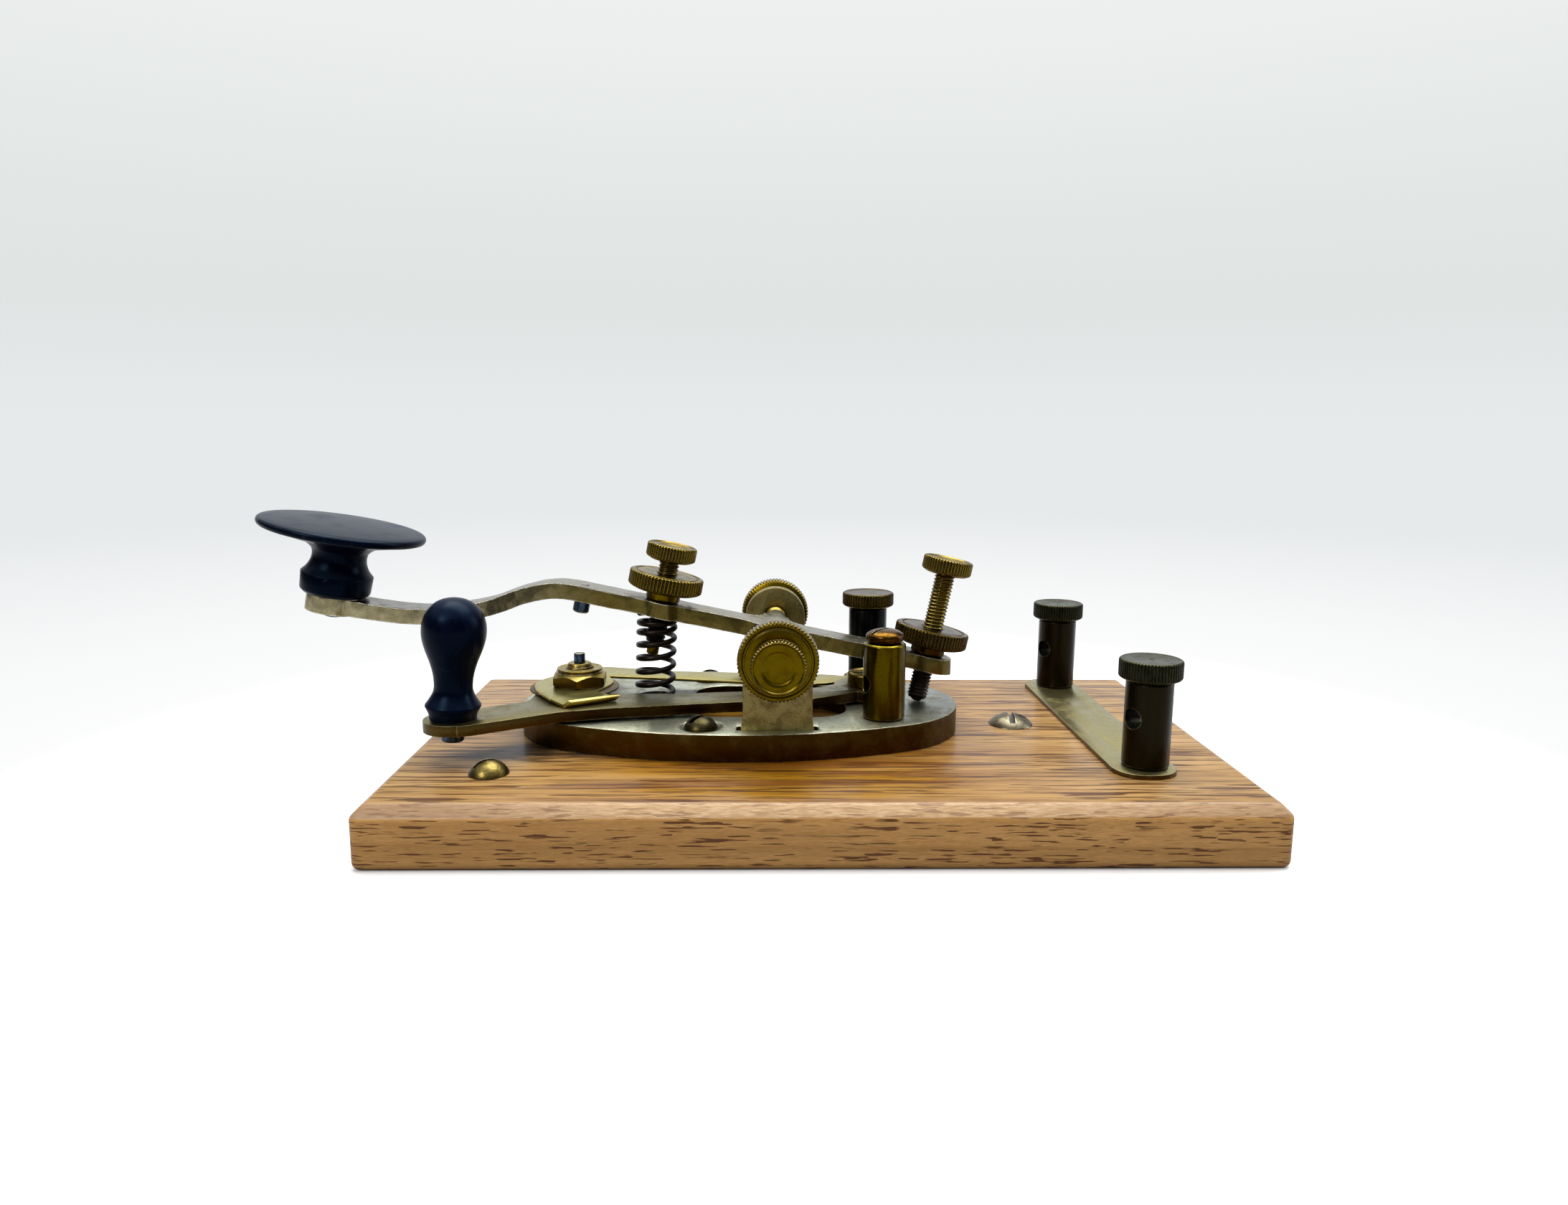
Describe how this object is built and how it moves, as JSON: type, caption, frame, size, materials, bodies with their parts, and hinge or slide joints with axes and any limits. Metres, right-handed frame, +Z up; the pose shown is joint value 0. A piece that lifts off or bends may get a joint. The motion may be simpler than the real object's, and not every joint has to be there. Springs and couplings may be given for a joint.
{
  "type": "straight telegraph key",
  "caption": "Straight telegraph key on an oak board, with a rocking lever, round black knob, coil return spring, circuit closer and wire posts.",
  "frame": {"origin": "centre of the board's underside", "axes": "+X along the board towards the terminal posts, +Y to the far long side, +Z up"},
  "size_m": [0.2134, 0.1016, 0.0627],
  "materials": {
    "oak": "varnished oak, worn and stained",
    "plate_brass": "cast brass, dull grey-brown patina",
    "ear_brass": "pitted khaki-grey patina",
    "lever_steel": "dull nickel grey with brown flecks",
    "hard_rubber": "black hard rubber, worn gloss",
    "screw_steel": "oxidised steel",
    "contact_metal": "bright contact metal",
    "nut_brass": "knurled yellow-olive brass",
    "spring_steel": "blackened spring wire",
    "screw_brass": "tarnished brass",
    "fibre": "dark red-brown pressed fibre",
    "strap_brass": "sheet brass, grey-green patina",
    "arm_brass": "flat brass, grey-green patina",
    "post_brass": "turned olive brass",
    "black_brass": "blackened brass, rubbed at the edges",
    "copper_brass": "coppery brown brass",
    "plate_screw_brass": "dark olive brass",
    "strip_brass": "khaki-olive sheet brass"
  },
  "bodies": {
    "base": {"base_board": "oak", "key_plate": "plate_brass", "trunnion_ear_front": "ear_brass", "trunnion_ear_rear": "ear_brass", "return_spring": "spring_steel", "anvil_post": "screw_brass", "anvil_nut": "screw_brass", "anvil_washer": "fibre", "anvil_spacer": "fibre", "anvil_lower_washer": "fibre", "contact_strap": "strap_brass", "closer_washer": "arm_brass", "closer_pivot_screw": "screw_brass", "plate_post_front": "post_brass", "plate_post_rear": "black_brass", "post_screw_front": "screw_brass", "post_screw_rear": "screw_brass", "rear_post_insulator": "fibre", "rear_post_lower_insulator": "fibre", "plate_screws": "plate_screw_brass", "board_screw_brass": "screw_brass", "board_screw_steel": "screw_steel", "terminal_strip": "strip_brass", "terminal_post_front": "black_brass", "terminal_post_rear": "black_brass", "terminal_fixing_screws": "screw_brass"},
    "lever": {"lever": "lever_steel", "lever_knob": "hard_rubber", "knob_screw": "screw_steel", "upper_contact": "contact_metal"},
    "closer": {"closer_arm": "arm_brass", "closer_handle": "hard_rubber", "closer_handle_stud": "screw_steel"},
    "trunnion_screw_front": {"trunnion_screw_front": "nut_brass"},
    "trunnion_screw_rear": {"trunnion_screw_rear": "nut_brass"},
    "trunnion_nut_front": {"trunnion_nut_front": "nut_brass"},
    "trunnion_nut_rear": {"trunnion_nut_rear": "nut_brass"},
    "spring_screw": {"spring_screw": "nut_brass"},
    "spring_nut": {"spring_nut": "nut_brass"},
    "gap_screw": {"gap_screw": "nut_brass"},
    "gap_nut": {"gap_nut": "nut_brass"},
    "clamp_screw_front": {"clamp_screw_front": "copper_brass"},
    "thumbscrew_rear": {"thumbscrew_rear": "nut_brass"},
    "terminal_thumbscrew_front": {"terminal_thumbscrew_front": "black_brass"},
    "terminal_thumbscrew_rear": {"terminal_thumbscrew_rear": "black_brass"}
  },
  "joints": [
    {"name": "lever_rock", "type": "hinge", "parent": "base", "child": "lever", "pos_m": [-0.0087, 0.003, 0.0347], "axis": [0, -1, 0], "range_deg": [0, 12], "stiffness_Nm_per_rad": 0.5, "springref_deg": -17.19, "deforming": ["return_spring"]},
    {"name": "closer_swing", "type": "hinge", "parent": "base", "child": "closer", "pos_m": [0.0128, 0.0068, 0.0205], "axis": [0, 0, 1], "range_deg": [0, 5.3]},
    {"name": "trunnion_screw_front_turn", "type": "hinge", "parent": "base", "child": "trunnion_screw_front", "pos_m": [-0.0087, -0.027, 0.0347], "axis": [0, -1, 0], "continuous": true},
    {"name": "trunnion_screw_rear_turn", "type": "hinge", "parent": "base", "child": "trunnion_screw_rear", "pos_m": [-0.0087, 0.033, 0.0347], "axis": [0, 1, 0], "continuous": true},
    {"name": "trunnion_nut_front_turn", "type": "hinge", "parent": "base", "child": "trunnion_nut_front", "pos_m": [-0.0087, -0.024, 0.0347], "axis": [0, -1, 0], "continuous": true},
    {"name": "trunnion_nut_rear_turn", "type": "hinge", "parent": "base", "child": "trunnion_nut_rear", "pos_m": [-0.0087, 0.03, 0.0347], "axis": [0, 1, 0], "continuous": true},
    {"name": "spring_screw_turn", "type": "hinge", "parent": "lever", "child": "spring_screw", "pos_m": [-0.0353, 0.003, 0.04081], "axis": [0.1994, 0, 0.9799], "continuous": true},
    {"name": "spring_nut_turn", "type": "hinge", "parent": "lever", "child": "spring_nut", "pos_m": [-0.0353, 0.003, 0.04081], "axis": [0.1994, 0, 0.9799], "continuous": true},
    {"name": "gap_screw_turn", "type": "hinge", "parent": "lever", "child": "gap_screw", "pos_m": [0.026, 0.003, 0.02834], "axis": [0.1994, 0, 0.9799], "continuous": true},
    {"name": "gap_nut_turn", "type": "hinge", "parent": "lever", "child": "gap_nut", "pos_m": [0.026, 0.003, 0.02834], "axis": [0.1994, 0, 0.9799], "continuous": true},
    {"name": "clamp_screw_front_turn", "type": "hinge", "parent": "base", "child": "clamp_screw_front", "pos_m": [0.0149, -0.011, 0.0356], "axis": [0, 0, 1], "continuous": true},
    {"name": "thumbscrew_rear_turn", "type": "hinge", "parent": "base", "child": "thumbscrew_rear", "pos_m": [0.0142, 0.021, 0.0379], "axis": [0, 0, 1], "continuous": true},
    {"name": "terminal_thumbscrew_front_turn", "type": "hinge", "parent": "base", "child": "terminal_thumbscrew_front", "pos_m": [0.06715, -0.02929, 0.0317], "axis": [0, 0, 1], "continuous": true},
    {"name": "terminal_thumbscrew_rear_turn", "type": "hinge", "parent": "base", "child": "terminal_thumbscrew_rear", "pos_m": [0.06645, 0.03811, 0.0317], "axis": [0, 0, 1], "continuous": true}
  ]
}
